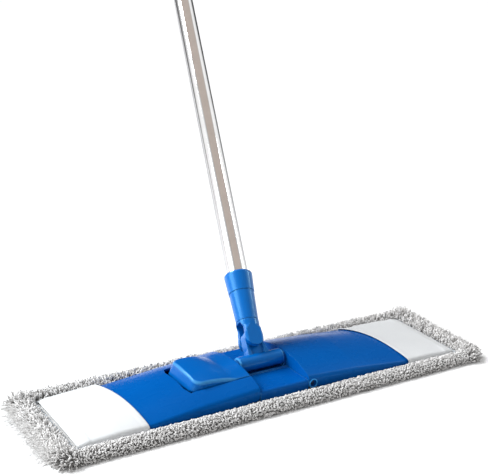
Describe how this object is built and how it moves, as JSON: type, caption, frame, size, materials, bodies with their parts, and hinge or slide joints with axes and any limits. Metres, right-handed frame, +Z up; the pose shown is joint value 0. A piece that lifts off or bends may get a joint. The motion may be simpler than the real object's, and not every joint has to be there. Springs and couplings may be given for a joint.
{
  "type": "flat mop",
  "caption": "Flat floor mop: fringed microfibre pad with end pockets, folding plastic frame with foot pedal, two-axis joint and long straight tube handle.",
  "frame": {"origin": "middle of the pad's wiping face, on the floor", "axes": "+Z up from the floor, +Y along the longest extent, towards the pad's back edge and the leaning handle, +X along the pad to the right end"},
  "size_m": [0.5, 0.948, 0.8711],
  "materials": {
    "sole_microfibre": "looped",
    "fringe_microfibre": "looped",
    "pocket_cloth": "woven",
    "hem": "woven",
    "blue_plastic": "gloss",
    "blue_plate": "satin",
    "bush_plastic": "satin",
    "grip_plastic": "satin",
    "tube_metal": "polished",
    "steel": "satin"
  },
  "bodies": {
    "pad": {"pad_sole": "sole_microfibre", "fringe_front": "fringe_microfibre", "fringe_back": "fringe_microfibre", "fringe_left": "fringe_microfibre", "fringe_right": "fringe_microfibre", "hem_tape": "hem", "left_pocket": "pocket_cloth", "right_pocket": "pocket_cloth"},
    "centre": {"centre_block": "blue_plastic", "centre_underplate": "blue_plate", "centre_screws": "steel", "latch_keeper": "steel", "barrel_axle": "steel"},
    "left_wing": {"left_wing": "blue_plastic", "left_underplate": "blue_plate", "left_wing_screws": "steel", "left_hinge_pin": "steel", "pedal_pivot_pin": "steel", "pedal_spring": "steel"},
    "right_wing": {"right_wing": "blue_plastic", "right_underplate": "blue_plate", "right_wing_screws": "steel", "right_hinge_pin": "steel"},
    "pedal": {"foot_pedal": "blue_plastic", "latch_hook": "steel"},
    "yoke": {"yoke": "blue_plastic", "left_barrel_bush": "bush_plastic", "right_barrel_bush": "bush_plastic", "tongue_bush": "bush_plastic"},
    "handle": {"fork_socket": "blue_plastic", "ear_pin": "steel", "ear_pin_cap": "bush_plastic", "clamp_collar": "blue_plastic", "collet": "blue_plate", "handle_tube": "tube_metal", "tube_foot_plug": "bush_plastic", "grip_sleeve": "grip_plastic", "hanging_cap": "blue_plastic"}
  },
  "joints": [
    {"name": "frame_lift", "type": "slide", "parent": "pad", "child": "centre", "axis": [0, 0, 1], "range_m": [0, 0.1548], "deforming": ["left_pocket", "right_pocket"]},
    {"name": "left_wing_fold", "type": "hinge", "parent": "centre", "child": "left_wing", "pos_m": [-0.0345, 0, 0.0128], "axis": [0, -1, 0], "range_deg": [0, 50]},
    {"name": "right_wing_fold", "type": "hinge", "parent": "centre", "child": "right_wing", "pos_m": [0.0345, 0, 0.0128], "axis": [0, 1, 0], "range_deg": [0, 50]},
    {"name": "pedal_press", "type": "hinge", "parent": "left_wing", "child": "pedal", "pos_m": [-0.044, 0, 0.0195], "axis": [0, -1, 0], "range_deg": [0, 8], "stiffness_Nm_per_rad": 0.6, "deforming": ["pedal_spring"]},
    {"name": "handle_tilt", "type": "hinge", "parent": "centre", "child": "yoke", "pos_m": [0, 0, 0.0245], "axis": [1, 0, 0], "range_deg": [-24, 116]},
    {"name": "handle_swing", "type": "hinge", "parent": "yoke", "child": "handle", "pos_m": [0, 0.01798, 0.04187], "axis": [0, 0.6947, -0.7193], "range_deg": [-56.2, 33.8]}
  ],
  "couplings": [
    {"joint": "left_wing_fold", "follows": "frame_lift", "rad_per_m": 5.6338},
    {"joint": "right_wing_fold", "follows": "frame_lift", "rad_per_m": 5.6338}
  ]
}
